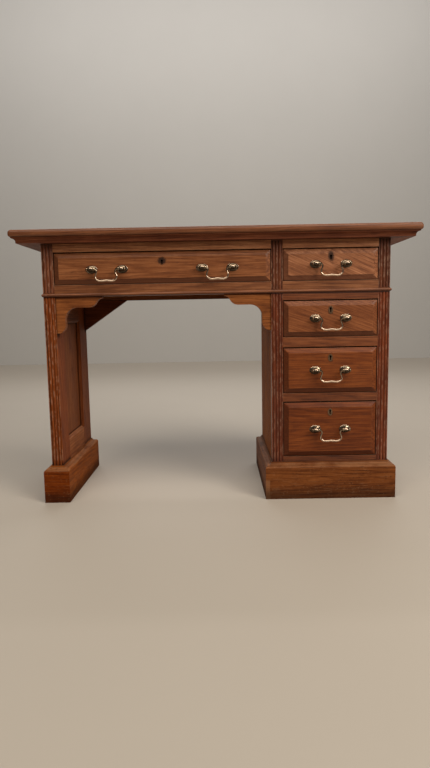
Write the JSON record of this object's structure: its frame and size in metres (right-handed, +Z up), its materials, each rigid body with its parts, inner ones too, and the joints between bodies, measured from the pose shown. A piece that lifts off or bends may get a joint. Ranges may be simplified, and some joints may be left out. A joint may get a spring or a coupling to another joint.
{
  "type": "kneehole desk",
  "caption": "Oak kneehole writing desk with a drawer pedestal at the right, a panelled end support at the left, frieze drawers, brass bail handles and moulded plinths.",
  "frame": {"origin": "on the floor, under the middle of the top board", "axes": "+Z up, +X along the width towards the pedestal, the front faces -Y"},
  "size_m": [1.11, 0.458, 0.762],
  "materials": {
    "case_oak": "polished reddish-brown oak",
    "drawer_oak": "polished mid-brown oak",
    "drawer_lining": "bare planed wood",
    "brass": "worn antique brass",
    "lock_brass": "dull tarnished brass",
    "lock_steel": "dull steel"
  },
  "bodies": {
    "desk": {"bead": "case_oak", "bed_moulding": "case_oak", "bracket_left": "case_oak", "bracket_right": "case_oak", "frieze_back": "case_oak", "frieze_ends": "case_oak", "frieze_partition": "case_oak", "frieze_rails": "case_oak", "frieze_runners": "drawer_lining", "frieze_stiles": "case_oak", "leg_front_stile": "case_oak", "leg_panel": "case_oak", "leg_plinth": "case_oak", "leg_rails": "case_oak", "leg_rear_stile": "case_oak", "pedestal_back": "case_oak", "pedestal_base": "drawer_lining", "pedestal_plinth": "case_oak", "pedestal_rails": "case_oak", "pedestal_runners": "drawer_lining", "pedestal_sides": "case_oak", "pedestal_stiles": "case_oak", "rear_gusset": "case_oak", "top_board": "case_oak"},
    "long_drawer": {"long_drawer_front": "drawer_oak", "long_drawer_box": "drawer_lining", "long_drawer_bottom": "drawer_lining", "long_drawer_mounts": "brass", "long_drawer_lock": "lock_brass"},
    "short_drawer": {"short_drawer_front": "drawer_oak", "short_drawer_box": "drawer_lining", "short_drawer_bottom": "drawer_lining", "short_drawer_mounts": "brass", "short_drawer_lock": "lock_brass"},
    "upper_drawer": {"upper_drawer_front": "drawer_oak", "upper_drawer_box": "drawer_lining", "upper_drawer_bottom": "drawer_lining", "upper_drawer_mounts": "brass", "upper_drawer_lock": "lock_brass"},
    "middle_drawer": {"middle_drawer_front": "drawer_oak", "middle_drawer_box": "drawer_lining", "middle_drawer_bottom": "drawer_lining", "middle_drawer_mounts": "brass", "middle_drawer_lock": "lock_brass"},
    "deep_drawer": {"deep_drawer_front": "drawer_oak", "deep_drawer_box": "drawer_lining", "deep_drawer_bottom": "drawer_lining", "deep_drawer_mounts": "brass", "deep_drawer_lock": "lock_brass"},
    "long_drawer_bail_left": {"long_drawer_bail_left": "brass"},
    "long_drawer_bail_right": {"long_drawer_bail_right": "brass"},
    "short_drawer_bail": {"short_drawer_bail": "brass"},
    "upper_drawer_bail": {"upper_drawer_bail": "brass"},
    "middle_drawer_bail": {"middle_drawer_bail": "brass"},
    "deep_drawer_bail": {"deep_drawer_bail": "brass"},
    "long_drawer_bolt": {"long_drawer_bolt": "lock_steel"},
    "short_drawer_bolt": {"short_drawer_bolt": "lock_steel"},
    "upper_drawer_bolt": {"upper_drawer_bolt": "lock_steel"},
    "middle_drawer_bolt": {"middle_drawer_bolt": "lock_steel"},
    "deep_drawer_bolt": {"deep_drawer_bolt": "lock_steel"}
  },
  "joints": [
    {"name": "long_drawer_slide", "type": "slide", "parent": "desk", "child": "long_drawer", "axis": [0, -1, 0], "range_m": [0, 0.24]},
    {"name": "short_drawer_slide", "type": "slide", "parent": "desk", "child": "short_drawer", "axis": [0, -1, 0], "range_m": [0, 0.24]},
    {"name": "upper_drawer_slide", "type": "slide", "parent": "desk", "child": "upper_drawer", "axis": [0, -1, 0], "range_m": [0, 0.24]},
    {"name": "middle_drawer_slide", "type": "slide", "parent": "desk", "child": "middle_drawer", "axis": [0, -1, 0], "range_m": [0, 0.24]},
    {"name": "deep_drawer_slide", "type": "slide", "parent": "desk", "child": "deep_drawer", "axis": [0, -1, 0], "range_m": [0, 0.24]},
    {"name": "long_drawer_bail_left_swing", "type": "hinge", "parent": "long_drawer", "child": "long_drawer_bail_left", "pos_m": [-0.3, -0.2047, 0.6555], "axis": [-1, 0, 0], "range_deg": [-22, 200]},
    {"name": "long_drawer_bail_right_swing", "type": "hinge", "parent": "long_drawer", "child": "long_drawer_bail_right", "pos_m": [0.004, -0.2047, 0.6555], "axis": [-1, 0, 0], "range_deg": [-22, 200]},
    {"name": "short_drawer_bail_swing", "type": "hinge", "parent": "short_drawer", "child": "short_drawer_bail", "pos_m": [0.316, -0.2047, 0.6595], "axis": [-1, 0, 0], "range_deg": [-22, 200]},
    {"name": "upper_drawer_bail_swing", "type": "hinge", "parent": "upper_drawer", "child": "upper_drawer_bail", "pos_m": [0.316, -0.2047, 0.5115], "axis": [-1, 0, 0], "range_deg": [-22, 200]},
    {"name": "middle_drawer_bail_swing", "type": "hinge", "parent": "middle_drawer", "child": "middle_drawer_bail", "pos_m": [0.316, -0.2047, 0.367], "axis": [-1, 0, 0], "range_deg": [-22, 200]},
    {"name": "deep_drawer_bail_swing", "type": "hinge", "parent": "deep_drawer", "child": "deep_drawer_bail", "pos_m": [0.316, -0.2047, 0.199], "axis": [-1, 0, 0], "range_deg": [-22, 200]},
    {"name": "long_drawer_bolt_throw", "type": "slide", "parent": "long_drawer", "child": "long_drawer_bolt", "axis": [0, 0, 1], "range_m": [0, 0.009]},
    {"name": "short_drawer_bolt_throw", "type": "slide", "parent": "short_drawer", "child": "short_drawer_bolt", "axis": [0, 0, 1], "range_m": [0, 0.009]},
    {"name": "upper_drawer_bolt_throw", "type": "slide", "parent": "upper_drawer", "child": "upper_drawer_bolt", "axis": [0, 0, 1], "range_m": [0, 0.009]},
    {"name": "middle_drawer_bolt_throw", "type": "slide", "parent": "middle_drawer", "child": "middle_drawer_bolt", "axis": [0, 0, 1], "range_m": [0, 0.009]},
    {"name": "deep_drawer_bolt_throw", "type": "slide", "parent": "deep_drawer", "child": "deep_drawer_bolt", "axis": [0, 0, 1], "range_m": [0, 0.009]}
  ]
}
